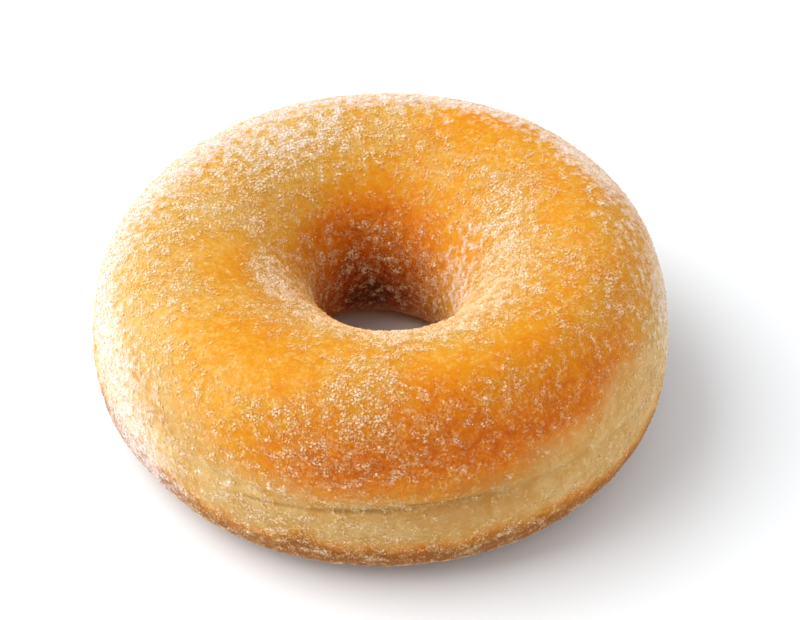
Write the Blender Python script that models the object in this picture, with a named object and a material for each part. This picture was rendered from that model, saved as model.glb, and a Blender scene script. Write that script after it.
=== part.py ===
"""A sugared ring doughnut, as one closed solid.

The ring stands on Z = 0 with Z up, and its outline is centred on X = Y = 0.
The front is at -Y. All lengths are metres, and angles are degrees round Z
from +X towards +Y.

A rounded section is spun into an even ring. The ring is then pushed out of
true by a few slow waves round its plan and a shallow dent in its side, and
the proof line is pressed into the side as a fold.
"""

import math

import bmesh
import bpy
from mathutils import Vector

# Driving dimensions
OUTER_RADIUS = 0.0460
HEIGHT = 0.0350
CROWN_RADIUS = 0.0317
WIDEST_HEIGHT = 0.0130
HOLE_RADIUS = 0.0115
HOLE_WAIST_HEIGHT = 0.0155
FOOT_OUTER_RADIUS = 0.0329
FOOT_INNER_RADIUS = 0.0216

# How full each quarter of the section is: 2 is an ellipse, more is squarer
OUTER_TOP_FULLNESS = 2.32
INNER_TOP_FULLNESS = 2.0
INNER_BASE_FULLNESS = 2.0
OUTER_BASE_FULLNESS = 2.34

# Slow waves round the plan: waves in a turn, amplitude, angle of a crest
OUTLINE_WAVES = ((1, 0.00067, 136.0), (2, 0.00076, -20.0), (3, 0.00015, -2.0))
HOLE_WAVES = ((1, 0.00120, 58.0), (2, 0.00164, -58.0))
HEIGHT_WAVES = ((1, 0.00187, -29.0),)

# Where the side was pressed in while the dough was soft: angle, half width, depth
SIDE_DENTS = ((217.0, 15.0, 0.0007),)

# The proof line, a fold in the side that is deepest at the front
FOLD_HEIGHT = 0.0184
FOLD_HEIGHT_WAVES = ((2, 0.0005, 92.0), (5, 0.0004, 20.0))
FOLD_DEPTH = 0.0007
FOLD_HALF_WIDTH = 0.0009
FOLD_SHARE = 0.50
FOLD_SHARE_WAVES = ((1, 0.35, 270.0), (3, 0.15, 270.0))

# Facets
STEPS_ROUND = 72
FOLD_ZONE = (3.0, 21.0)
FOLD_ZONE_STEP = 1.5
OUTER_TOP_STEP = 6.0
INNER_TOP_STEP = 7.5
BASE_STEP = 11.25
FLAT_STEPS = 3

CRUST_COLOUR = (0.56, 0.27, 0.075, 1.0)
CRUST_ROUGHNESS = 0.72


def wave(waves, degrees):
    """Sum of the slow waves at one angle round the ring."""
    return sum(size * math.cos(math.radians(turns * (degrees - crest))) for turns, size, crest in waves)


def dented(degrees):
    """How far the side is pressed in at one angle round the ring."""
    total = 0.0
    for place, half_width, depth in SIDE_DENTS:
        aside = (degrees - place + 180.0) % 360.0 - 180.0
        total += depth * math.exp(-((aside / half_width) ** 2))
    return total


def spaced(start, end, step):
    """Angles from start up to end, without end, at most step apart."""
    count = math.ceil((end - start) / step - 1e-6)
    return [start + (end - start) * i / count for i in range(count)]


def quarter(side, cap, fullness, angles):
    """Points of a rounded quarter that leaves side upright and nears cap level."""
    power = 2.0 / fullness
    points = []
    for degrees in angles:
        turn = math.radians(degrees)
        across = math.cos(turn) ** power
        along = math.sin(turn) ** power
        radius = cap[0] + (side[0] - cap[0]) * across
        height = side[1] + (cap[1] - side[1]) * along
        points.append((radius, height))
    return points


def section():
    """The closed section as (radius, height), from the widest point over the crown and back."""
    widest = (OUTER_RADIUS, WIDEST_HEIGHT)
    crown = (CROWN_RADIUS, HEIGHT)
    waist = (HOLE_RADIUS, HOLE_WAIST_HEIGHT)
    inner_foot = (FOOT_INNER_RADIUS, 0.0)
    outer_foot = (FOOT_OUTER_RADIUS, 0.0)

    fold_start, fold_end = FOLD_ZONE
    over_fold = [0.0] + spaced(fold_start, fold_end, FOLD_ZONE_STEP)
    over_top = spaced(fold_end, 90.0, OUTER_TOP_STEP)
    into_hole = spaced(0.0, 90.0, INNER_TOP_STEP)
    under = spaced(0.0, 90.0, BASE_STEP)

    outer_top = quarter(widest, crown, OUTER_TOP_FULLNESS, over_fold + over_top)
    inner_top = quarter(waist, crown, INNER_TOP_FULLNESS, into_hole)
    inner_base = quarter(waist, inner_foot, INNER_BASE_FULLNESS, under)
    outer_base = quarter(widest, outer_foot, OUTER_BASE_FULLNESS, under)

    flat_width = FOOT_OUTER_RADIUS - FOOT_INNER_RADIUS
    flat = [(FOOT_INNER_RADIUS + flat_width * i / FLAT_STEPS, 0.0) for i in range(FLAT_STEPS + 1)]

    down_the_hole = [crown] + inner_top[:0:-1] + inner_base
    round_the_outside = outer_base[:0:-1]
    return outer_top + down_the_hole + flat + round_the_outside


def spun_ring(points):
    """A closed ring: the section spun once round Z."""
    bm = bmesh.new()
    verts = [bm.verts.new((radius, 0.0, height)) for radius, height in points]
    edges = [bm.edges.new((verts[i - 1], verts[i])) for i in range(len(verts))]
    bmesh.ops.spin(
        bm,
        geom=verts + edges,
        cent=(0.0, 0.0, 0.0),
        axis=(0.0, 0.0, 1.0),
        angle=math.tau,
        steps=STEPS_ROUND,
        use_merge=True,
    )
    bmesh.ops.recalc_face_normals(bm, faces=bm.faces)
    return bm


def fold_depth(degrees, height):
    """How far the proof line is pressed in at one place on the side."""
    share = FOLD_SHARE + wave(FOLD_SHARE_WAVES, degrees)
    offset = height - FOLD_HEIGHT - wave(FOLD_HEIGHT_WAVES, degrees)
    return FOLD_DEPTH * share * math.exp(-((offset / FOLD_HALF_WIDTH) ** 2))


def push_out_of_true(bm):
    """Move each point of the even ring by the waves, the dent and the fold."""
    for vert in bm.verts:
        radius = math.hypot(vert.co.x, vert.co.y)
        degrees = math.degrees(math.atan2(vert.co.y, vert.co.x))
        height = vert.co.z

        if radius > CROWN_RADIUS:
            reach = (radius - CROWN_RADIUS) / (OUTER_RADIUS - CROWN_RADIUS)
            moved = radius + reach * (wave(OUTLINE_WAVES, degrees) - dented(degrees))
        else:
            reach = (CROWN_RADIUS - radius) / (CROWN_RADIUS - HOLE_RADIUS)
            moved = radius + reach * wave(HOLE_WAVES, degrees)

        lift = max(0.0, (height - WIDEST_HEIGHT) / (HEIGHT - WIDEST_HEIGHT))
        raised = height + lift * wave(HEIGHT_WAVES, degrees)
        if radius > CROWN_RADIUS:
            moved -= fold_depth(degrees, raised)

        vert.co.x *= moved / radius
        vert.co.y *= moved / radius
        vert.co.z = raised


def centre_outline(bm):
    """Slide the ring so that the middle of its outline is at X = Y = 0."""
    xs = [vert.co.x for vert in bm.verts]
    ys = [vert.co.y for vert in bm.verts]
    middle = Vector(((min(xs) + max(xs)) / 2, (min(ys) + max(ys)) / 2, 0.0))
    bmesh.ops.translate(bm, verts=bm.verts, vec=-middle)


def crust_material():
    """Golden fried dough."""
    material = bpy.data.materials.new("fried_crust")
    material.use_nodes = True
    shader = material.node_tree.nodes["Principled BSDF"]
    shader.inputs["Base Color"].default_value = CRUST_COLOUR
    shader.inputs["Roughness"].default_value = CRUST_ROUGHNESS
    shader.inputs["Metallic"].default_value = 0.0
    material.diffuse_color = CRUST_COLOUR
    return material


def make_doughnut():
    """The ring as a named object."""
    bm = spun_ring(section())
    push_out_of_true(bm)
    centre_outline(bm)
    mesh = bpy.data.meshes.new("doughnut")
    bm.to_mesh(mesh)
    bm.free()
    mesh.shade_smooth()
    mesh.materials.append(crust_material())
    doughnut = bpy.data.objects.new("doughnut", mesh)
    bpy.context.scene.collection.objects.link(doughnut)
    return doughnut


def main():
    for old in list(bpy.data.objects):
        bpy.data.objects.remove(old)
    make_doughnut()


main()
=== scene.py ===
# %% [markdown]
# # A sugared ring doughnut
# The finished solid comes in as a fixed frame: it has the right shape and size, but no crust and no sugar.
# This lesson bakes the crust, dusts it with crystals and lights it as in the photograph. Every new piece is
# made round that frame, in metres, with Z up and the front of the doughnut towards -Y.

# %% Load the frame and take its measures
import math
import bpy
import numpy as np
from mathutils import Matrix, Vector


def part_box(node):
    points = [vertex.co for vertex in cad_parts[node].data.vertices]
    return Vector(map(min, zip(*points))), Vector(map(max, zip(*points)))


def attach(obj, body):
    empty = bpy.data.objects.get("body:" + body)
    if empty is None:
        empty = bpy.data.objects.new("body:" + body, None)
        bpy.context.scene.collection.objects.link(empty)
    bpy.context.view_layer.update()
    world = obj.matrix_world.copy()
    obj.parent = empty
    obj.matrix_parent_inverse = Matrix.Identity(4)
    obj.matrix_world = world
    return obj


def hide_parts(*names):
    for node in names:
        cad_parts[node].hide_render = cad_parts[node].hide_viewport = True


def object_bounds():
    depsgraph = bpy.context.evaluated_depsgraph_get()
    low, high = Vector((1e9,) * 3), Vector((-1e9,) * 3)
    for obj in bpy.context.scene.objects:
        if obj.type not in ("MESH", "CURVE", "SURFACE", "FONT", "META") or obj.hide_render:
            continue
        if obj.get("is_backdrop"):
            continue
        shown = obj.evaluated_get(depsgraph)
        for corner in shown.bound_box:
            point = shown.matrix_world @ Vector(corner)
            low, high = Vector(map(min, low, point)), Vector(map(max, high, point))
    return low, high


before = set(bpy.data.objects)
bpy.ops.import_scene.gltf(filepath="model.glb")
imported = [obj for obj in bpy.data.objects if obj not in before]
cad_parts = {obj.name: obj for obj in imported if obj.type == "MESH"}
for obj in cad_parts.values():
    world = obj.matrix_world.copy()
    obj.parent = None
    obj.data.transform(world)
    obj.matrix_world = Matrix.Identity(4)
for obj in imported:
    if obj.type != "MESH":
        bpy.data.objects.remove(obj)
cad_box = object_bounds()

MM = 0.001
low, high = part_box("doughnut")
print("the dough ring is", [round(side / MM, 1) for side in high - low], "mm")

# %% [markdown]
# ## The camera
# The photograph looks down on the doughnut from the front at 43 degrees, from nearly half a metre away. The
# lens follows from how large the ring looks: a point at that distance moves 2843 pixels for each unit of
# slope. The ring sits a little left of and below the middle of the picture. The lens could be shifted for
# that, but turning the camera a touch to the right and up does the same, and suits every other view too.

# %% Set up the camera
FRAME_WIDTH = 800
FOCAL_PIXELS = 2843.0
SENSOR_MM = 36.0
ELEVATION = math.radians(43.0)
DISTANCE = 460.0 * MM
RING_MIDDLE = Vector((0.3, -0.5, 16.6)) * MM
AIM_RIGHT = 2.94 * MM
AIM_UP = 1.40 * MM

towards_camera = Vector((0.0, -math.cos(ELEVATION), math.sin(ELEVATION)))
picture_up = Vector((0.0, math.sin(ELEVATION), math.cos(ELEVATION)))
aim = RING_MIDDLE + AIM_RIGHT * Vector((1.0, 0.0, 0.0)) + AIM_UP * picture_up
eye = RING_MIDDLE + DISTANCE * towards_camera

bpy.ops.object.select_all(action="DESELECT")
bpy.ops.object.camera_add(location=eye, rotation=(aim - eye).to_track_quat("-Z", "Y").to_euler())
camera = bpy.context.object
camera.name = "camera"
camera.data.sensor_width = SENSOR_MM
camera.data.lens = FOCAL_PIXELS / FRAME_WIDTH * SENSOR_MM
bpy.context.scene.camera = camera
print("the lens is", round(camera.data.lens, 1), "mm long")

# %% [markdown]
# ## Helpers for choosing an object and applying a modifier
# An operator acts on whatever is selected, and loading the frame leaves its node selected. Each step
# therefore starts by selecting just the object that it works on.


# %% Select one object, and apply one modifier
def only(piece):
    bpy.ops.object.select_all(action="DESELECT")
    piece.select_set(True)
    bpy.context.view_layer.objects.active = piece


def apply_modifier(piece, modifier):
    only(piece)
    bpy.ops.object.modifier_apply(modifier=modifier.name)


def triangle_count(mesh):
    mesh.calc_loop_triangles()
    return len(mesh.loop_triangles)


# %% [markdown]
# ## The crust
# A fried crust is smooth in the large and slightly lumpy close up. The frame's node may not be changed, so
# the crust is a copy of its mesh. The copy comes as loose triangles: its doubles are merged, the triangles
# are joined back into four-sided faces, and two levels of subdivision round them off. Remeshing would also
# give a fine mesh, but it would round off the fold in the side.

# %% Copy the ring and subdivide it
crust = bpy.data.objects.new("crust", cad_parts["doughnut"].data.copy())
bpy.context.scene.collection.objects.link(crust)
crust.data.materials.clear()
only(crust)
bpy.ops.mesh.customdata_custom_splitnormals_clear()
bpy.ops.object.mode_set(mode="EDIT")
bpy.ops.mesh.select_all(action="SELECT")
bpy.ops.mesh.remove_doubles(threshold=0.001 * MM)
bpy.ops.mesh.tris_convert_to_quads(face_threshold=math.pi, shape_threshold=math.pi)
bpy.ops.object.mode_set(mode="OBJECT")
corners = [len(face.vertices) for face in crust.data.polygons]
print("faces after joining:", len(corners), "of which triangles:", corners.count(3))

finer = crust.modifiers.new("finer", "SUBSURF")
finer.levels = 2
finer.render_levels = 2
apply_modifier(crust, finer)
print("crust triangles:", triangle_count(crust.data))

# %% [markdown]
# ## Where is a point on the ring?
# Two angles say it all. The angle round the ring is 0 at the right, 90 at the back, 180 at the left and 270
# at the front. The turn round the dough is taken about its core, a circle through the middle of the dough:
# it is 0 at the outer side, 90 on the crown, 180 on the wall of the hole and 270 underneath. Every band,
# patch and drift below is placed by these two, in degrees.


# %% Work out both angles for every vertex
CORE_RADIUS = 28.8 * MM
CORE_HEIGHT = 17.0 * MM
OUTSIDE_FADE = 4.0 * MM


def vertex_places(mesh):
    places = np.empty(len(mesh.vertices) * 3, np.float32)
    mesh.vertices.foreach_get("co", places)
    return places.reshape(-1, 3).astype(float)


def store(mesh, name, values):
    """Keep one number for each vertex under a name that materials and nodes can read."""
    attribute = mesh.attributes.new(name, "FLOAT", "POINT")
    attribute.data.foreach_set("value", np.asarray(values, np.float32))


def ring_places(mesh):
    points = vertex_places(mesh)
    radius = np.hypot(points[:, 0], points[:, 1])
    angle = np.degrees(np.arctan2(points[:, 1], points[:, 0])) % 360
    turn = np.degrees(np.arctan2(points[:, 2] - CORE_HEIGHT, radius - CORE_RADIUS)) % 360
    return points, radius, angle, turn


def apart(a, b):
    """The signed difference of two angles, from -180 to 180."""
    return (a - b + 180) % 360 - 180


def round_the_ring(angle, marks):
    """A value that changes smoothly round the ring, from a few (angle, value) marks."""
    at = [mark[0] for mark in marks]
    values = [mark[1] for mark in marks]
    return np.interp(angle, at, values, period=360)


points, radius, angle, turn = ring_places(crust.data)
height = points[:, 2]
outside = np.clip((radius - CORE_RADIUS) / OUTSIDE_FADE, 0, 1)
print(len(points), "vertices,", round(100 * float(np.mean(outside > 0))), "% of them outside the crown")

# %% [markdown]
# ## The creases
# The proof line isn't one clean groove. Fine creases run beside it and overlap like strokes of a pen. Each
# stroke runs between two angles, at a height that changes along it, and fades out over a fifth of its length
# at both ends. How deep it is at a vertex is kept as a weight.

# %% Weigh the creases
CREASES = (
    # from, to (degrees round the ring), height at each end in mm, share of the depth
    (238, 279, 17.0, 18.7, 0.7),
    (266, 292, 19.3, 19.2, 0.5),
    (338, 25, 18.4, 19.0, 0.4),
    (50, 110, 18.9, 18.2, 0.7),
    (100, 160, 18.9, 18.4, 0.6),
    (168, 215, 18.0, 18.7, 0.6),
)
CREASE_HALF_WIDTH = 0.34 * MM
CREASE_ENDS = 5
LEAST_WEIGHT = 0.004


def crease_weights():
    weights = np.zeros(len(height))
    for start, end, first, last, share in CREASES:
        length = apart(end, start) % 360
        along = (apart(angle, start) % 360) / length
        inside = np.clip(np.minimum(along, 1 - along) * CREASE_ENDS, 0, 1) * (along < 1)
        middle = (first + (last - first) * along) * MM
        stroke = np.exp(-(((height - middle) / CREASE_HALF_WIDTH) ** 2))
        weights = np.maximum(weights, share * inside * stroke)
    return weights * outside


creased = crease_weights()
print("vertices in a crease:", int(np.count_nonzero(creased > LEAST_WEIGHT)))

# %% [markdown]
# ## Relief
# Three kinds of relief are pushed into the mesh with Displace modifiers, since a bump in the material would
# leave the outline as smooth as glass. Clouds as wide as a fingertip give the dough its soft lumps, smaller
# ones its wrinkled skin, and the creases are pressed in by their weights. The flat underside keeps still, so
# the ring stays on the table.

# %% Push the relief into the crust
LUMPS = 0.40 * MM
LUMP_SIZE = 13.0 * MM
WRINKLES = 0.16 * MM
WRINKLE_SIZE = 2.6 * MM
CREASE_DEPTH = 0.40 * MM
SKIN_FREE_FROM = 3.0 * MM


def add_group(piece, name, weights):
    group = piece.vertex_groups.new(name=name)
    for index in np.flatnonzero(weights > LEAST_WEIGHT):
        group.add([int(index)], float(weights[index]), "REPLACE")


def displace(piece, name, group, strength, cloud_size=None):
    modifier = piece.modifiers.new(name, "DISPLACE")
    modifier.vertex_group = group
    modifier.strength = strength
    modifier.mid_level = 0.0
    if cloud_size:
        modifier.texture = bpy.data.textures.new(name, "CLOUDS")
        modifier.texture.noise_scale = cloud_size
        modifier.texture.noise_depth = 2
        modifier.mid_level = 0.5
    apply_modifier(piece, modifier)


free_skin = np.clip(height / SKIN_FREE_FROM, 0, 1)
add_group(crust, "free skin", free_skin)
add_group(crust, "creases", creased)
displace(crust, "lumps", "free skin", LUMPS, LUMP_SIZE)
displace(crust, "wrinkles", "free skin", WRINKLES, WRINKLE_SIZE)
displace(crust, "creases", "creases", -CREASE_DEPTH)
only(crust)
bpy.ops.object.shade_smooth()
crust.vertex_groups.clear()
store(crust.data, "creased", creased)
moved = np.abs(vertex_places(crust.data) - points).max()
print("the relief moves the skin by up to", round(float(moved / MM), 2), "mm")

# %% [markdown]
# ## Where the dough stays pale
# A ring doughnut floats in the oil and is turned once, so a band round its side never fries. Its edges
# wander: each mark gives the angle round the ring and the edge's height there in mm. Two numbers are stored
# for each vertex: how far it lies below the band's upper edge and above its lower edge. The material turns
# them into a soft, ragged band. A stripe painted straight by height would look machine-made.

# %% Store the pale band's edges
PALE_TOP = (
    (0, 27.5), (25, 25.5), (60, 23.5), (100, 24.5), (140, 26.5), (175, 28.5), (205, 28), (228, 25.5),
    (238, 22), (246, 19.8), (256, 19.6), (270, 20), (284, 20.6), (298, 21.2), (308, 22.8), (320, 25),
    (340, 27.4),
)
PALE_BASE = (
    (0, 14), (40, 12), (90, 13), (150, 12), (190, 14), (208, 14.4), (222, 12.6), (232, 11.4), (244, 10.4),
    (248, 10.4), (254, 13.6), (260, 10.9), (274, 10.6), (288, 10.8), (302, 11.6), (318, 11), (332, 12),
    (344, 13.6),
)
INSIDE_THE_RING = -20.0

below_top = round_the_ring(angle, PALE_TOP) - height / MM
above_base = height / MM - round_the_ring(angle, PALE_BASE)
store(crust.data, "below_top", np.where(outside > 0, below_top, INSIDE_THE_RING))
store(crust.data, "above_base", above_base)
store(crust.data, "outside", outside)
pale_share = np.mean((outside > 0) & (below_top > 0) & (above_base > 0))
print("the pale band takes", round(100 * float(pale_share)), "% of the vertices")

# %% [markdown]
# ## How deeply the crust is fried, with painted light and shade
# Frying took the crust from straw through gold and orange to red-brown: pale gold on the left and orange on
# the front slope above the band. The pale gold on the left is partly painted highlight, where the softbox
# burns the side out. Low on the side at the front the extra brown is partly painted shade near the table,
# and the dark red-brown in the hole is painted shade. Each patch is an oval: where it lies, how far it
# reaches round the ring and round the dough in millimetres, and how much it adds. Their sum is one value
# from 0, straw, to 1, dark brown.

# %% Store how deeply the crust is fried, with its painted light and shade
TUBE_RADIUS = 15.5 * MM
EVEN_FRY = 0.25
FRYING_AND_PAINTED_LIGHT = (
    # angle, turn, reach round the ring, reach round the dough, amount
    # on the side, low at the front: frying and painted shade near the table
    (255, 322, 34, 6, 0.24), (320, 322, 24, 6, 0.24),
    # on the outer slope; the pale patch on the left is partly painted highlight
    (190, 50, 34, 9, -0.2), (257, 30, 10, 5, 0.28), (285, 36, 20, 5.5, 0.42), (318, 42, 13, 5, 0.18),
    (345, 52, 12, 5, 0.02),
    # on the crown
    (120, 70, 24, 6, -0.08), (245, 88, 14, 5, 0.06), (285, 68, 16, 4, 0.08),
    # on the rim of the hole
    (120, 120, 14, 5, -0.05), (135, 102, 22, 8, -0.1),
    # in the hole: painted shade, darkest low down at the back and at the front
    (50, 172, 8, 8, 0.14), (60, 205, 7, 9, 0.08), (80, 146, 8, 4, 0.14), (98, 200, 9, 11, 0.56),
    (100, 222, 9, 6, 0.22), (115, 146, 8, 4, 0.12), (126, 178, 9, 9, 0.12), (145, 160, 9, 6, -0.04),
    (150, 164, 8, 7, 0.05), (180, 140, 9, 10, 0.06), (280, 208, 8, 9, 0.3),
)


def with_ovals(start, marks):
    total = np.full(len(angle), start)
    for place, slope, reach_round, reach_over, amount in marks:
        aside = np.radians(apart(angle, place)) * radius / (reach_round * MM)
        over = np.radians(apart(turn, slope)) * TUBE_RADIUS / (reach_over * MM)
        total += amount * np.exp(-(aside ** 2) - over ** 2)
    return np.clip(total, 0, 1)


# This value also holds painted light and shade: red-brown in the hole and low at the front, pale on the lit
# left.
fried_and_painted_light = with_ovals(EVEN_FRY, FRYING_AND_PAINTED_LIGHT)
store(crust.data, "fried_and_painted_light", fried_and_painted_light)
print("fried from", round(float(fried_and_painted_light.min()), 2), "to", round(float(fried_and_painted_light.max()), 2))

# %% [markdown]
# ## Where the sugar lies
# Sugar is rolled on, so it sticks in drifts: thick on the rim of the hole and on the front of the crown,
# thin where the crust was dry. Drifts and bare patches are ovals too, and add up to one cover value from 0
# to 1. The underside was rubbed on the table, so it keeps less.

# %% Store the sugar cover
EVEN_COVER = 0.45
DRIFTS = (
    # angle, turn, reach round the ring, reach round the dough, amount
    # on the side
    (240, 330, 16, 3.5, 0.05), (250, 12, 8, 3, 0.05), (262, 346, 34, 5, 0.12), (290, 330, 20, 3.5, 0.05),
    (350, 20, 12, 8, 0.2),
    # on the outer slope
    (80, 56, 24, 6, 0.06), (175, 45, 12, 6, 0.25), (214, 50, 9, 5, 0.2), (254, 52, 9, 5, 0.14),
    (270, 54, 9, 5, 0.14), (288, 52, 8, 4, 0.05),
    # on the crown
    (12, 62, 12, 5, 0.2), (40, 66, 12, 4, 0.2), (80, 62, 16, 4, 0.28), (110, 90, 14, 4, 0.24),
    (120, 62, 14, 5, 0.28), (120, 92, 10, 4, 0.2), (135, 95, 22, 7, 0.12), (150, 68, 12, 7, 0.25),
    (180, 90, 22, 5, 0.14), (190, 62, 12, 7, 0.2), (192, 92, 14, 4, 0.12), (240, 70, 10, 4, 0.12),
    (266, 74, 6, 3.5, 0.18), (298, 69, 17, 5, 0.14), (340, 66, 9, 5, 0.1),
    # on the rim of the hole
    (10, 116, 7, 6, 0.4), (28, 103, 6, 5, 0.3), (82, 104, 9, 4, 0.1), (130, 114, 7, 4, 0.12),
    (160, 117, 6, 4, 0.2), (187, 128, 5, 4, 0.45), (205, 131, 4.5, 3.5, 0.5), (225, 131, 4.5, 3.5, 0.5),
    (245, 128, 4.5, 4, 0.45), (270, 114, 7, 4, 0.3), (270, 100, 18, 6, 0.1), (292, 104, 7, 4.5, 0.3),
    (315, 104, 12, 5, 0.18), (318, 120, 7, 6, 0.4), (350, 126, 7, 7, 0.4),
    # in the hole
    (0, 170, 7, 5, 0.25), (70, 178, 9, 9, 0.18), (98, 162, 10, 8, 0.16), (165, 172, 8, 5, 0.25),
    (338, 158, 7, 5, 0.3),
)
BARE_PATCHES = (
    # angle, turn, reach round the ring, reach round the dough, amount
    # on the side
    (90, 350, 60, 10, -0.16), (200, 340, 16, 4, -0.1), (270, 325, 44, 4, -0.14), (288, 354, 14, 3, -0.3),
    (292, 18, 14, 3.5, -0.24), (310, 8, 12, 4, -0.25), (330, 335, 16, 4, -0.2),
    # on the outer slope
    (285, 48, 9, 4, -0.1), (300, 34, 9, 3.5, -0.16), (314, 52, 6, 4, -0.22), (325, 32, 12, 5, -0.18),
    # on the crown
    (8, 92, 5, 3.5, -0.3), (15, 70, 12, 4, -0.1), (30, 82, 10, 5, -0.15), (35, 68, 12, 4, -0.1),
    (60, 81, 6.5, 4, -0.45), (152, 82, 6, 4, -0.2), (184, 86, 5, 3.5, -0.25), (218, 70, 5, 3.5, -0.3),
    (222, 90, 7, 4, -0.1), (230, 80, 6, 4, -0.42), (240, 72, 5, 4, -0.45), (250, 72, 3.5, 3, -0.35),
    (257, 95, 4, 2.6, -0.5), (287, 76, 5.5, 4.5, -0.55), (308, 76, 6.5, 3.5, -0.42), (330, 76, 5, 3, -0.2),
    (350, 64, 3.5, 3, -0.25),
    # on the rim of the hole
    (92, 134, 6, 3.5, -0.4), (180, 113, 6, 4, -0.15), (184, 106, 5.5, 4, -0.5), (200, 100, 5, 3.5, -0.45),
    (220, 132, 7, 4, -0.16), (282, 130, 8, 3, -0.1),
    # in the hole
    (5, 142, 7, 4, -0.15), (50, 150, 8, 4, -0.16), (80, 165, 9, 6, -0.1), (95, 205, 12, 10, -0.15),
    (120, 150, 9, 5, -0.15), (270, 185, 10, 12, -0.14),
)

UNDERSIDE_REACH = 2.2 * MM
RUBBED_OFF = 0.6

underside = np.clip(1 - height / UNDERSIDE_REACH, 0, 1)
cover = with_ovals(EVEN_COVER, DRIFTS + BARE_PATCHES) * (1 - RUBBED_OFF * underside)
store(crust.data, "sugar_cover", cover)
print("mean sugar cover:", round(float(cover.mean()), 2))

# %% [markdown]
# ## Powder, and painted shade on the band
# Two more soft layers are stored in the same way. The finest sugar hangs as a pale powder round the back,
# at both ends and in the funnel of the hole, where it wasn't rubbed off. At the ends it is partly painted
# light: at the left it is painted highlight on the side that the softbox burns out, and at the right painted
# fill light from the walls. And the band isn't evenly pale: at the front, above the fold and low down, it is
# darkened with painted shade.

# %% Store the powder and the band's painted shade
# Part of this powder is painted light: painted highlight at the left end and painted fill light at the right
# end.
POWDER_AND_PAINTED_LIGHT = (
    # angle, turn, reach round the ring, reach round the dough, amount
    # on the side
    (0, 15, 14, 10, 1.05), (176, 22, 22, 7, 0.5), (202, 16, 13, 8, 0.55), (214, 338, 13, 8, 0.8),
    (244, 9, 12, 3.5, 0.25),
    # on the outer slope
    (27, 45, 11, 6.5, 1.25), (65, 48, 20, 7, 1.35), (105, 46, 20, 7, 1.25), (145, 44, 16, 7, 1.05),
    (172, 27, 16, 9, 0.5),
    # on the crown
    (120, 94, 12, 4, 0.4), (135, 90, 20, 7, 0.15),
    # on the rim of the hole
    (10, 120, 9, 6, 0.3), (275, 122, 9, 4, 0.5),
    # in the hole
    (0, 175, 8, 5, 0.35), (20, 150, 5, 5, 0.4), (172, 176, 9, 4, 0.15), (338, 158, 8, 5, 0.35),
)
# The band's darkening at the front is painted shade.
BAND_SHADE = (
    # angle, turn, reach round the ring, reach round the dough, amount
    # on the side
    (270, 335, 26, 7, 0.2), (284, 18, 15, 6, 0.9), (320, 345, 12, 6, 0.05),
)

powder_and_light_cover = with_ovals(0.0, POWDER_AND_PAINTED_LIGHT)
band_shade = with_ovals(0.0, BAND_SHADE)
store(crust.data, "powder_and_light", powder_and_light_cover)
store(crust.data, "band_shade", band_shade)
print("mean powder:", round(float(powder_and_light_cover.mean()), 2), "and mean tan:", round(float(band_shade.mean()), 2))

# %% [markdown]
# ## Small helpers for building node trees
# Materials are node trees, and a few short functions keep the code that builds them readable. They add a
# node, do a sum, soften a value into a mask between two limits, mix two colours by a mask, make soft noise,
# and read a value that is stored on the mesh.


# %% Node helpers
def add_node(tree, kind, values=None, **settings):
    node = tree.nodes.new(kind)
    for name, value in settings.items():
        setattr(node, name, value)
    for name, value in (values or {}).items():
        target = node.inputs[name]
        if isinstance(value, bpy.types.NodeSocket):
            tree.links.new(value, target)
        else:
            target.default_value = value
    return node


def maths(tree, operation, first, second=0.0, third=0.0):
    node = add_node(tree, "ShaderNodeMath", {0: first, 1: second, 2: third}, operation=operation)
    return node.outputs[0]


def mask(tree, value, start, end):
    """0 below start, 1 above end, and smooth between them."""
    values = {"Value": value, "From Min": start, "From Max": end}
    node = add_node(tree, "ShaderNodeMapRange", values, interpolation_type="SMOOTHSTEP")
    return node.outputs["Result"]


def mixed(tree, share, first, second):
    """The first colour, with a share of the second laid over it."""
    node = add_node(tree, "ShaderNodeMix", data_type="RGBA")
    for target, value in ((0, share), (6, first), (7, second)):
        if isinstance(value, bpy.types.NodeSocket):
            tree.links.new(value, node.inputs[target])
        else:
            node.inputs[target].default_value = value
    return node.outputs[2]


def clouds(tree, size, detail=2.0, roughness=0.5, stretch=(1.0, 1.0, 1.0)):
    """Soft noise, about 0 to 1, whose blobs are size metres wide."""
    place = add_node(tree, "ShaderNodeTexCoord").outputs["Object"]
    moved = add_node(tree, "ShaderNodeMapping", {"Vector": place, "Scale": stretch})
    values = {"Vector": moved.outputs[0], "Scale": 1 / size, "Detail": detail, "Roughness": roughness}
    return add_node(tree, "ShaderNodeTexNoise", values).outputs["Fac"]


def stored(tree, name):
    return add_node(tree, "ShaderNodeAttribute", attribute_name=name).outputs["Fac"]


def add_inputs(group, kind, starts):
    """Give a node group its named inputs, each with the value that it starts from."""
    for name, start in starts.items():
        socket = group.interface.new_socket(name, in_out="INPUT", socket_type=kind)
        if start is not None:
            socket.default_value = start


# %% [markdown]
# ## How sugar gathers
# Sticky crust holds sugar in lacy clumps about a millimetre wide. The same lace is needed for the dust and
# the powder in the crust's material, for the whiteness of the crystals, and for where the crystals stand.
# One function therefore builds its nodes, at the same place on the ring, so the dust lies between the
# crystals and not beside them. For the materials it fills a node group that both of them hold.

# %% Build the sugar lace group
CLUMP_SIZE = 1.5 * MM
CLUMP_CONTRAST = 4.8
COVER_GAIN = 1.5


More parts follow.
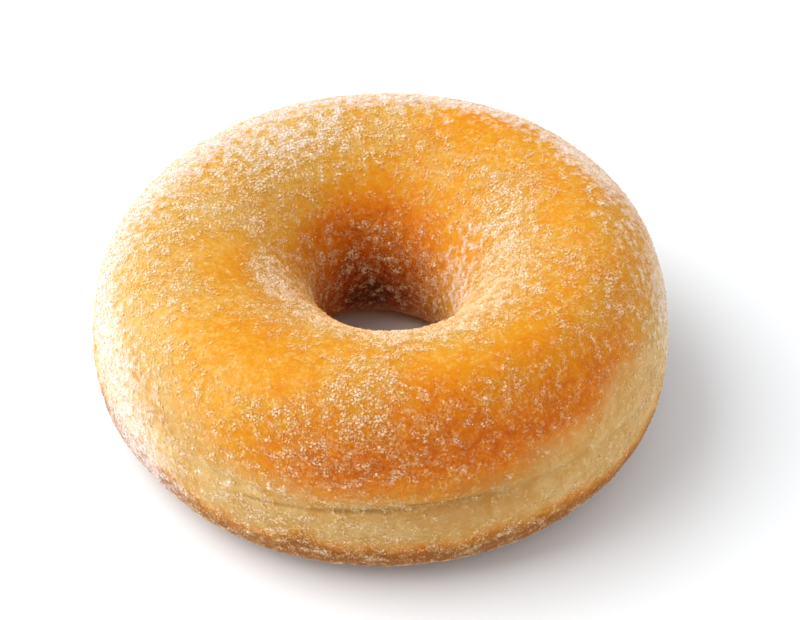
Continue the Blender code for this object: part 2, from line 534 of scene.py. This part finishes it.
def gathered(tree, place, cover, shift, contrast):
    """0 on bare crust to 1 in a clump, from the cover stored there."""
    values = {"Vector": place, "Scale": 1 / CLUMP_SIZE, "Detail": 3.0, "Roughness": 0.6}
    clumps = add_node(tree, "ShaderNodeTexNoise", values).outputs["Fac"]
    clumps = maths(tree, "MULTIPLY", maths(tree, "SUBTRACT", clumps, 0.5), contrast)
    amount = maths(tree, "ADD", maths(tree, "MULTIPLY_ADD", cover, COVER_GAIN, shift), clumps)
    return add_node(tree, "ShaderNodeClamp", {"Value": amount}).outputs[0]


lace = bpy.data.node_groups.new("sugar lace", "ShaderNodeTree")
add_inputs(lace, "NodeSocketFloat", {"Cover": EVEN_COVER, "Shift": 0.0, "Clumping": CLUMP_CONTRAST})
lace.interface.new_socket("Amount", in_out="OUTPUT", socket_type="NodeSocketFloat")
lace_in = lace.nodes.new("NodeGroupInput").outputs
lace_out = lace.nodes.new("NodeGroupOutput").inputs
lace_place = add_node(lace, "ShaderNodeTexCoord").outputs["Object"]
lace_amount = gathered(lace, lace_place, lace_in["Cover"], lace_in["Shift"], lace_in["Clumping"])
lace.links.new(lace_amount, lace_out["Amount"])
print("the sugar lace group has", len(lace.nodes), "nodes")


def laced(tree, name, shift, clumping=CLUMP_CONTRAST):
    """Put the group in a material, and feed it with a stored value."""
    values = {"Cover": stored(tree, name), "Shift": shift, "Clumping": clumping}
    return add_node(tree, "ShaderNodeGroup", values, node_tree=lace).outputs["Amount"]


# %% [markdown]
# ## The colour of fried dough, with its painted light and shade, as a node group
# Two materials need the crust's colour: the crust itself, and the sugar, since a clear crystal takes on the
# colour of what it lies on. The colour is therefore a node group that both materials hold. It reads the
# values stored on the mesh, which the crystals will inherit. Clouds at three scales mottle it: patches a
# fingertip wide, freckles of a millimetre or two, and fine pits. The last two are also its height, for the
# bump.

# %% Start the fried dough group
PATCH_SIZE = 11.0 * MM
FRECKLE_SIZE = 2.2 * MM
PIT_SIZE = 0.6 * MM
PIT_HEIGHT = 0.4

dough = bpy.data.node_groups.new("fried dough", "ShaderNodeTree")
noise_sizes = {"Patch size": PATCH_SIZE, "Freckle size": FRECKLE_SIZE, "Pit size": PIT_SIZE}
add_inputs(dough, "NodeSocketFloat", noise_sizes)
dough.interface.new_socket("Colour", in_out="OUTPUT", socket_type="NodeSocketColor")
dough.interface.new_socket("Height", in_out="OUTPUT", socket_type="NodeSocketFloat")
dough_in = dough.nodes.new("NodeGroupInput").outputs
dough_out = dough.nodes.new("NodeGroupOutput").inputs


def sized_noise(size_socket, detail):
    place = add_node(dough, "ShaderNodeTexCoord").outputs["Object"]
    scale = maths(dough, "DIVIDE", 1.0, size_socket)
    values = {"Vector": place, "Scale": scale, "Detail": detail, "Roughness": 0.55}
    return add_node(dough, "ShaderNodeTexNoise", values).outputs["Fac"]


patches = sized_noise(dough_in["Patch size"], 3.0)
freckles = sized_noise(dough_in["Freckle size"], 2.0)
pits = sized_noise(dough_in["Pit size"], 2.0)
dough.links.new(maths(dough, "MULTIPLY_ADD", pits, PIT_HEIGHT, freckles), dough_out["Height"])
print("the clouds are", [round(size / MM, 1) for size in noise_sizes.values()], "mm wide")

# %% [markdown]
# ## The fried colours
# A colour ramp holds them in order, from straw to dark brown. It is read at the stored value, plus a little
# of each cloud. Its red-brown end is reached mostly in the hole, where it paints shade.

# %% Colour the fried crust
STRAW = (0.66, 0.37, 0.078, 1)
GOLDEN = (0.61, 0.255, 0.008, 1)
AMBER = (0.61, 0.180, 0.004, 1)
DEEP_ORANGE = (0.51, 0.112, 0.002, 1)
RED_BROWN = (0.33, 0.046, 0.001, 1)
DARK_BROWN = (0.13, 0.020, 0.002, 1)
FRYING = (
    (0.0, STRAW), (0.25, GOLDEN), (0.45, AMBER), (0.65, DEEP_ORANGE), (0.85, RED_BROWN), (1.0, DARK_BROWN),
)
MOTTLING = ((patches, 0.40), (freckles, 0.40), (pits, 0.50))

# The stored value carries painted shade in the hole and painted highlight on the left, as well as the
# frying.
fry_and_light_level = stored(dough, "fried_and_painted_light")
for noise, strength in MOTTLING:
    fry_and_light_level = maths(dough, "MULTIPLY_ADD", maths(dough, "SUBTRACT", noise, 0.5), strength, fry_and_light_level)

ramp = add_node(dough, "ShaderNodeValToRGB", {"Fac": fry_and_light_level})
ramp.color_ramp.elements.remove(ramp.color_ramp.elements[0])
for position, colour in FRYING[:-1]:
    ramp.color_ramp.elements.new(position).color = colour
ramp.color_ramp.elements[-1].color = DARK_BROWN
crust_colour = ramp.outputs["Color"]
print("the fried colours are at", [round(stop.position, 2) for stop in ramp.color_ramp.elements])

# %% [markdown]
# ## The band, its painted shade and the base
# The pale band is laid over the fried colours with a ragged edge: clouds make both of its edges wander. It
# isn't one flat cream, because the skin stretched into fine upright streaks as the dough rose. At the front
# it is darkened with painted shade. Brown goes over the base, partly because it fried against the hottest
# oil and partly as painted shade where the ring meets the table. The same brown goes into the creases as
# painted shade.

# %% Lay the band and the base over the crust
GOLDEN_DOUGH = (0.52, 0.262, 0.058, 1)
CREAM = (0.63, 0.410, 0.165, 1)
BAND_SHADE_COLOUR = (0.34, 0.150, 0.030, 1)
BROWN_AND_PAINTED_SHADE = (0.19, 0.056, 0.006, 1)
# cloud size, its detail, how far it moves the edge in mm
EDGE_WANDER = ((5.0 * MM, 3.0, 7.0), (1.2 * MM, 2.0, 4.0))
LOWER_EDGE_WANDER = 0.5
# where each edge's fade starts and ends, in mm
BAND_TOP_FADE = (-5.0, 3.5)
BAND_BASE_FADE = (-1.2, 2.2)
BASE_FADE = (-3.2, 1.3)
STREAK_SIZE = 0.8 * MM
STREAK_STRETCH = (1.0, 1.0, 0.25)
STREAK_SHARE = 0.35
BLOTCH_SIZE = 4.0 * MM
CREAM_FADE = (0.40, 0.95)
BASE_SHARE = 0.85
CREASE_SHADE_SHARE = 0.45

(broad_size, broad_detail, broad_wander), (fine_size, fine_detail, fine_wander) = EDGE_WANDER
broad_edge = maths(dough, "SUBTRACT", clouds(dough, broad_size, broad_detail), 0.5)
fine_edge = maths(dough, "SUBTRACT", clouds(dough, fine_size, fine_detail), 0.5)
wander = maths(dough, "MULTIPLY", fine_edge, fine_wander)
wander = maths(dough, "MULTIPLY_ADD", broad_edge, broad_wander, wander)
under_edge = maths(dough, "ADD", stored(dough, "below_top"), wander)
over_edge = maths(dough, "MULTIPLY_ADD", wander, LOWER_EDGE_WANDER, stored(dough, "above_base"))
below_top_edge = mask(dough, under_edge, *BAND_TOP_FADE)
in_band = maths(dough, "MULTIPLY", below_top_edge, mask(dough, over_edge, *BAND_BASE_FADE))

streaks = clouds(dough, STREAK_SIZE, 2.0, stretch=STREAK_STRETCH)
blotches = clouds(dough, BLOTCH_SIZE, 3.0, 0.6)
pale = maths(dough, "MULTIPLY_ADD", streaks, STREAK_SHARE, blotches)
band_colour = mixed(dough, mask(dough, pale, *CREAM_FADE), GOLDEN_DOUGH, CREAM)
# At the front the band is darkened with painted shade.
band_colour = mixed(dough, stored(dough, "band_shade"), band_colour, BAND_SHADE_COLOUR)
crust_colour = mixed(dough, in_band, crust_colour, band_colour)

# The brown base is partly fried colour and partly painted shade near the table.
base_and_painted_shade = maths(dough, "SUBTRACT", 1.0, mask(dough, over_edge, *BASE_FADE))
base_and_painted_shade = maths(dough, "MULTIPLY", base_and_painted_shade, stored(dough, "outside"))
crust_colour = mixed(dough, maths(dough, "MULTIPLY", base_and_painted_shade, BASE_SHARE), crust_colour, BROWN_AND_PAINTED_SHADE)
# The creases are darkened with painted shade.
painted_crease_shade = maths(dough, "MULTIPLY", stored(dough, "creased"), CREASE_SHADE_SHARE)
crust_colour = mixed(dough, painted_crease_shade, crust_colour, BROWN_AND_PAINTED_SHADE)
dough.links.new(crust_colour, dough_out["Colour"])
print("the fried dough group has", len(dough.nodes), "nodes")

# %% [markdown]
# ## Sugar takes on the colour below it
# A crystal throws some light straight back, which is white, and lets the rest down to the dough, from where
# it returns in the dough's colour. The two mix like paints on a Mix node: a lone clear crystal is mostly
# dough with a little white, which gives peach on orange crust, and a heap is mostly white. No sugar is
# quite white here, because crystals throw warm light on one another. The lone ones are creamier than the
# heaped ones, and the fine powder is whitest. How the powder gathers stands here too, since both materials
# use it.

# %% The colours of sugar
LONE_SUGAR = (0.90, 0.62, 0.28, 1)
HEAPED_SUGAR = (0.95, 0.69, 0.46, 1)
POWDER_SUGAR = (0.92, 0.80, 0.76, 1)
POWDER_SHIFT = -0.55
POWDER_CLUMPING = 3.0
for name, colour in (("lone", LONE_SUGAR), ("heaped", HEAPED_SUGAR), ("powder_and_light", POWDER_SUGAR)):
    print(name, "sugar is", colour[:3])

# %% [markdown]
# ## The crust's material
# The group gives the colour. Between the crystals lies sugar dust too fine to model, half melted into the
# grease: it lightens the crust in the same clumps, broken up into specks. The powder lies over both. Fried
# skin has only a dull oily sheen, so its roughness is high and its specular level low. Light also seeps
# through dough, red light furthest, which warms the side in the shade and the wall of the hole.

# %% Build the crust's material
DUST_SHIFT = -0.15
DUST_SPECK_SIZE = 0.50 * MM
DUST_SPECK_EDGES = (0.45, 0.62)
DUST_WHITE = 0.42
POWDER_WHITE = 0.85
CRUST_ROUGHNESS = 0.50
CRUST_SPECULAR = 0.08
DOUGH_GLOW = 0.60
DOUGH_GLOW_COLOUR = (1.0, 0.35, 0.10)
DOUGH_GLOW_DEPTH = 5.0 * MM
BUMP_STRENGTH = 0.4
BUMP_DEPTH = 0.3 * MM

crust_material = bpy.data.materials.new("fried crust")
crust_material.use_nodes = True
tree = crust_material.node_tree
shader = tree.nodes["Principled BSDF"]
dough_node = add_node(tree, "ShaderNodeGroup", node_tree=dough)
specks = mask(tree, clouds(tree, DUST_SPECK_SIZE, 2.0, 0.6), *DUST_SPECK_EDGES)
dust = maths(tree, "MULTIPLY", laced(tree, "sugar_cover", DUST_SHIFT), specks)
dusted = mixed(tree, maths(tree, "MULTIPLY", dust, DUST_WHITE), dough_node.outputs["Colour"], LONE_SUGAR)
# The powder is sugar, and at both ends of the ring also painted light.
powder_and_light = laced(tree, "powder_and_light", POWDER_SHIFT, POWDER_CLUMPING)
powdered = mixed(tree, maths(tree, "MULTIPLY", powder_and_light, POWDER_WHITE), dusted, POWDER_SUGAR)
tree.links.new(powdered, shader.inputs["Base Color"])
shader.inputs["Roughness"].default_value = CRUST_ROUGHNESS
shader.inputs["Specular IOR Level"].default_value = CRUST_SPECULAR
shader.inputs["Subsurface Weight"].default_value = DOUGH_GLOW
shader.inputs["Subsurface Radius"].default_value = DOUGH_GLOW_COLOUR
shader.inputs["Subsurface Scale"].default_value = DOUGH_GLOW_DEPTH
bump_values = {"Height": dough_node.outputs["Height"], "Strength": BUMP_STRENGTH, "Distance": BUMP_DEPTH}
bump = add_node(tree, "ShaderNodeBump", bump_values)
tree.links.new(bump.outputs[0], shader.inputs["Normal"])
crust.data.materials.append(crust_material)
print("the crust's material has", len(tree.nodes), "nodes")

# %% [markdown]
# ## The crystals
# Granulated sugar is a mix of sizes and shapes: whole blocks and bricks, split crystals, and splinters,
# crumbs and chips. Each is modelled once, about 1 unit across, and has few faces because it is repeated by
# the thousand. The larger ones start as a cube, which is stretched and may have a corner or a half cut off
# with bisect, as real crystals break. The small ones start as a cone on three sides. The foot of each is
# below zero, so that it sits bedded in the crust.


# %% Model the crystal shapes
def cut(piece, point, normal):
    """Cut a flat facet off a closed shape and keep what lies behind it."""
    only(piece)
    bpy.ops.object.mode_set(mode="EDIT")
    bpy.ops.mesh.select_all(action="SELECT")
    bpy.ops.mesh.bisect(plane_co=point, plane_no=normal, use_fill=True, clear_outer=True)
    bpy.ops.object.mode_set(mode="OBJECT")


def crystal(name, size, cuts, lift, pointed=False):
    bpy.ops.object.select_all(action="DESELECT")
    if pointed:
        bpy.ops.mesh.primitive_cone_add(vertices=3, radius1=0.5, depth=1.0)
    else:
        bpy.ops.mesh.primitive_cube_add(size=1.0)
    piece = bpy.context.object
    piece.name = name
    piece.scale = size
    bpy.ops.object.transform_apply(location=False, rotation=False, scale=True)
    for point, normal in cuts:
        cut(piece, point, normal)
    piece.location.z = lift
    bpy.ops.object.transform_apply(location=True, rotation=False, scale=False)
    print(name, "has", triangle_count(piece.data), "triangles")
    return piece


corner_cut = ((0.36, 0.26, 0.22), (1, 0.9, 0.8))
half_cut = ((0.0, 0.0, 0.0), (0.7, 0.0, 1.0))
block = crystal("crystal_block", (1.0, 0.82, 0.74), [corner_cut], 0.05)
brick = crystal("crystal_brick", (1.0, 0.72, 0.62), [], 0.04)
split = crystal("crystal_split", (1.0, 0.85, 0.70), [half_cut], 0.08)
splinter = crystal("crystal_splinter", (1.0, 1.2, 0.8), [], 0.04, pointed=True)
crumb = crystal("crystal_crumb", (0.9, 0.8, 1.0), [], 0.02, pointed=True)
chip = crystal("crystal_chip", (1.3, 0.9, 0.7), [], 0.04, pointed=True)

# %% [markdown]
# ## Dusting with Geometry Nodes
# Placing tens of thousands of crystals by hand is out of the question. A particle system would do it, but
# it isn't mesh. Geometry Nodes can scatter points on the crust, put a crystal on each, and then realize the
# instances, which turns them into one real mesh. The scatter keeps the crystals a least distance apart,
# follows the stored cover, and breaks it up into clumps.

# %% Scatter points where the sugar gathers
MOST_CRYSTALS_PER_SQUARE_METRE = 2.0e7

scatter = bpy.data.node_groups.new("scatter crystals", "GeometryNodeTree")
add_inputs(scatter, "NodeSocketGeometry", {"Geometry": None})
add_inputs(scatter, "NodeSocketObject", {"Crystal": None})
scatter_sizes = ("Spacing", "Cover shift", "Clumping", "Smallest", "Largest")
add_inputs(scatter, "NodeSocketFloat", dict.fromkeys(scatter_sizes))
add_inputs(scatter, "NodeSocketInt", {"Seed": None})
scatter.interface.new_socket("Geometry", in_out="OUTPUT", socket_type="NodeSocketGeometry")
given = scatter.nodes.new("NodeGroupInput").outputs
result = scatter.nodes.new("NodeGroupOutput").inputs

cover_here = add_node(scatter, "GeometryNodeInputNamedAttribute", {"Name": "sugar_cover"}, data_type="FLOAT")
cover_here = cover_here.outputs["Attribute"]
where = add_node(scatter, "GeometryNodeInputPosition").outputs[0]
spread = add_node(
    scatter,
    "GeometryNodeDistributePointsOnFaces",
    {
        "Mesh": given["Geometry"],
        "Distance Min": given["Spacing"],
        "Density Max": MOST_CRYSTALS_PER_SQUARE_METRE,
        "Density Factor": gathered(scatter, where, cover_here, given["Cover shift"], given["Clumping"]),
        "Seed": given["Seed"],
    },
    distribute_method="POISSON",
)
print("the scatter takes", [item.name for item in scatter.interface.items_tree if item.in_out == "INPUT"])

# %% [markdown]
# ## Put a crystal on each point
# A crystal stands on the crust, tilted a little and turned any way, at a random size between two limits.
# Each gets a random tone for its material. Once they are real mesh, those under the ring are pressed flat
# on the table instead of poking through it.

# %% Place the crystals and make them real
MOST_TILT = 0.4
LEAST_TURN = (-MOST_TILT, -MOST_TILT, -math.pi)
MOST_TURN = (MOST_TILT, MOST_TILT, math.pi)


def random_between(kind, sockets, least, most):
    values = {sockets[0]: least, sockets[1]: most, "Seed": given["Seed"]}
    return add_node(scatter, "FunctionNodeRandomValue", values, data_type=kind)


tilt = random_between("FLOAT_VECTOR", (0, 1), LEAST_TURN, MOST_TURN).outputs["Value"]
size = random_between("FLOAT", (2, 3), given["Smallest"], given["Largest"]).outputs[1]
tone = random_between("FLOAT", (2, 3), 0.0, 1.0).outputs[1]
turn_values = {"Rotation": spread.outputs["Rotation"], "Rotate By": tilt}
turned = add_node(scatter, "FunctionNodeRotateRotation", turn_values, rotation_space="LOCAL")
model = add_node(scatter, "GeometryNodeObjectInfo", {"Object": given["Crystal"]})
placed_values = {
    "Points": spread.outputs["Points"],
    "Instance": model.outputs["Geometry"],
    "Rotation": turned.outputs[0],
    "Scale": size,
}
placed = add_node(scatter, "GeometryNodeInstanceOnPoints", placed_values).outputs[0]
tone_values = {"Geometry": placed, "Name": "tone", "Value": tone}
store_tone = "GeometryNodeStoreNamedAttribute"
toned = add_node(scatter, store_tone, tone_values, data_type="FLOAT", domain="INSTANCE").outputs[0]
real = add_node(scatter, "GeometryNodeRealizeInstances", {"Geometry": toned}).outputs[0]

corner_place = add_node(scatter, "GeometryNodeInputPosition").outputs[0]
corner = add_node(scatter, "ShaderNodeSeparateXYZ", {0: corner_place}).outputs
above_table = maths(scatter, "MAXIMUM", corner["Z"], 0.0)
held = add_node(scatter, "ShaderNodeCombineXYZ", {"X": corner["X"], "Y": corner["Y"], "Z": above_table})
pressed = add_node(scatter, "GeometryNodeSetPosition", {"Geometry": real, "Position": held.outputs[0]})
scatter.links.new(pressed.outputs[0], result["Geometry"])
print("the scatter group has", len(scatter.nodes), "nodes")

# %% [markdown]
# ## The sugar's material
# A crystal is clear, yet a heap looks white: light is bent and reflected by so many faces that most of it
# comes back. Real glass would be slow and would lose its look in an exported model, so each crystal is
# white sugar over dough. The dough comes through least where the sugar is heaped, and by the stored tone it
# differs from crystal to crystal. A little subsurface light softens the dark sides.

# %% Build the sugar's material
CLEAREST_WHITE = 0.10
WHITEST_WHITE = 0.90
HEAP_SHIFT = -0.65
HEAP_SHARE = 0.6
SUGAR_ROUGHNESS = 0.40
SUGAR_SPECULAR = 0.25
SUGAR_GLOW = 0.85
SUGAR_GLOW_COLOUR = (1.0, 0.8, 0.6)
SUGAR_GLOW_DEPTH = 0.35 * MM

sugar_material = bpy.data.materials.new("sugar")
sugar_material.use_nodes = True
tree = sugar_material.node_tree
shader = tree.nodes["Principled BSDF"]
dough_node = add_node(tree, "ShaderNodeGroup", node_tree=dough)
heaped = laced(tree, "sugar_cover", HEAP_SHIFT)
heap_part = maths(tree, "MULTIPLY", heaped, HEAP_SHARE)
whiteness = maths(tree, "MULTIPLY_ADD", stored(tree, "tone"), 1 - HEAP_SHARE, heap_part)
whiteness = maths(tree, "MULTIPLY_ADD", whiteness, WHITEST_WHITE - CLEAREST_WHITE, CLEAREST_WHITE)
# The powder is sugar, and at both ends of the ring also painted light.
powder_and_light = laced(tree, "powder_and_light", POWDER_SHIFT, POWDER_CLUMPING)
white_colour = mixed(tree, powder_and_light, mixed(tree, heaped, LONE_SUGAR, HEAPED_SUGAR), POWDER_SUGAR)
sugar_colour = mixed(tree, whiteness, dough_node.outputs["Colour"], white_colour)
tree.links.new(sugar_colour, shader.inputs["Base Color"])
shader.inputs["Roughness"].default_value = SUGAR_ROUGHNESS
shader.inputs["Specular IOR Level"].default_value = SUGAR_SPECULAR
shader.inputs["Subsurface Weight"].default_value = SUGAR_GLOW
shader.inputs["Subsurface Radius"].default_value = SUGAR_GLOW_COLOUR
shader.inputs["Subsurface Scale"].default_value = SUGAR_GLOW_DEPTH
print("the sugar's material has", len(tree.nodes), "nodes")

# %% [markdown]
# ## Dusting the ring
# Each kind of crystal becomes one piece. The piece starts as a copy of the crust, the scatter group swaps
# the copy for crystals, and applying the modifier leaves plain mesh.

# %% Dust the ring with each kind
MOST_TRIANGLES = 200_000
KINDS = (
    # name, shape, spacing in mm, shift of the cover, clumping, smallest and largest in mm
    ("sugar_blocks", block, 0.56, -0.72, 4.6, 0.30, 0.44),
    ("sugar_bricks", brick, 0.46, -0.62, 4.2, 0.26, 0.38),
    ("sugar_splits", split, 0.34, -0.46, 3.6, 0.23, 0.34),
    ("sugar_splinters", splinter, 0.27, -0.29, 2.6, 0.22, 0.33),
    ("sugar_crumbs", crumb, 0.27, -0.29, 2.2, 0.20, 0.31),
    ("sugar_chips", chip, 0.28, -0.30, 1.8, 0.19, 0.30),
)


def dust_with(name, shape, spacing, shift, clumping, smallest, largest, seed):
    piece = bpy.data.objects.new(name, crust.data.copy())
    bpy.context.scene.collection.objects.link(piece)
    modifier = piece.modifiers.new("scatter", "NODES")
    modifier.node_group = scatter
    values = {
        "Crystal": shape,
        "Spacing": spacing * MM,
        "Cover shift": shift,
        "Clumping": clumping,
        "Smallest": smallest * MM,
        "Largest": largest * MM,
        "Seed": seed,
    }
    for item in scatter.interface.items_tree:
        if item.in_out == "INPUT" and item.name in values:
            modifier[item.identifier] = values[item.name]
    apply_modifier(piece, modifier)
    piece.data.materials.clear()
    piece.data.materials.append(sugar_material)
    return piece


sugar_pieces = []
for seed, kind in enumerate(KINDS, 1):
    piece = dust_with(*kind, seed)
    count = triangle_count(piece.data)
    crystals = count // triangle_count(kind[1].data)
    print(piece.name, "has", crystals, "crystals and", count, "triangles")
    assert count < MOST_TRIANGLES, f"{piece.name} has too many triangles: {count}"
    sugar_pieces.append(piece)

for kind in KINDS:
    bpy.data.objects.remove(kind[1])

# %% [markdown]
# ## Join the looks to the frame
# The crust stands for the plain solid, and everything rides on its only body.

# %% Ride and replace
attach(crust, "root")
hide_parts("doughnut")
for piece in sugar_pieces:
    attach(piece, "root")
print("pieces on the ring:", 1 + len(sugar_pieces))

# %% [markdown]
# ## The floor
# The photograph was taken on a white floor that is bright enough to burn out to pure white. Its paint is a
# touch cool here, which cancels the orange that the doughnut throws into its own shadow.

# %% Lay the floor
FLOOR_WIDTH = 4.0
FLOOR_WHITE = (0.85, 0.88, 0.91, 1)
FLOOR_ROUGHNESS = 0.9

bpy.ops.object.select_all(action="DESELECT")
bpy.ops.mesh.primitive_plane_add(size=FLOOR_WIDTH)
floor = bpy.context.object
floor.name = "floor"
floor_material = bpy.data.materials.new("white floor")
floor_material.use_nodes = True
floor_shader = floor_material.node_tree.nodes["Principled BSDF"]
floor_shader.inputs["Base Color"].default_value = FLOOR_WHITE
floor_shader.inputs["Roughness"].default_value = FLOOR_ROUGHNESS
floor.data.materials.append(floor_material)
floor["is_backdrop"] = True
print("the floor is", FLOOR_WIDTH, "m wide")

# %% [markdown]
# ## The light
# The shadow tells where the light came from: it falls to the right and fades slowly, so a wide softbox
# stood on the left, about as high as it was far away. White walls fill in the rest. They are brighter than
# the ceiling, and brightest on the right.

# %% Set up the softbox and the white studio
LAMP_BEARING = math.radians(175)
LAMP_HEIGHT = math.radians(44)
LAMP_DISTANCE = 1.2
LAMP_WIDTH = 1.4
LAMP_POWER = 23.6
LAMP_COLOUR = (1.0, 0.99, 0.97)
HORIZON_LIGHT = 1.10
ZENITH_LIGHT = 0.50
RIGHT_LIGHT = 0.30

level = math.cos(LAMP_HEIGHT)
lamp_way = Vector((math.cos(LAMP_BEARING) * level, math.sin(LAMP_BEARING) * level, math.sin(LAMP_HEIGHT)))
lamp_place = lamp_way * LAMP_DISTANCE
lamp_turn = (-lamp_way).to_track_quat("-Z", "Y").to_euler()
bpy.ops.object.light_add(type="AREA", location=lamp_place, rotation=lamp_turn)
lamp = bpy.context.object
lamp.name = "softbox"
lamp.data.shape = "SQUARE"
lamp.data.size = LAMP_WIDTH
lamp.data.energy = LAMP_POWER
lamp.data.color = LAMP_COLOUR

world = bpy.data.worlds.new("white studio")
world.use_nodes = True
studio = world.node_tree
way = add_node(studio, "ShaderNodeTexCoord").outputs["Generated"]
way = add_node(studio, "ShaderNodeSeparateXYZ", {0: way}).outputs
fade = {"Value": way["Z"], "To Min": HORIZON_LIGHT, "To Max": ZENITH_LIGHT}
wall_light = add_node(studio, "ShaderNodeMapRange", fade).outputs["Result"]
wall_light = maths(studio, "MULTIPLY_ADD", way["X"], RIGHT_LIGHT, wall_light)
studio.links.new(wall_light, studio.nodes["Background"].inputs["Strength"])
studio.nodes["Background"].inputs["Color"].default_value = (1.0, 1.0, 1.0, 1.0)
bpy.context.scene.world = world
bpy.context.scene.view_settings.view_transform = "Standard"
print("the softbox stands at", [round(side, 2) for side in lamp_place], "m")

# %% [markdown]
# ## Finish
# Both boxes are printed, so that one can see whether the looks outgrow the solid.

# %% Write the sizes and finish
visual_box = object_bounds()
for name, box in (("CAD", cad_box), ("visual", visual_box)):
    print("the", name, "box is", [[round(side / MM, 1) for side in corner] for corner in box], "mm")
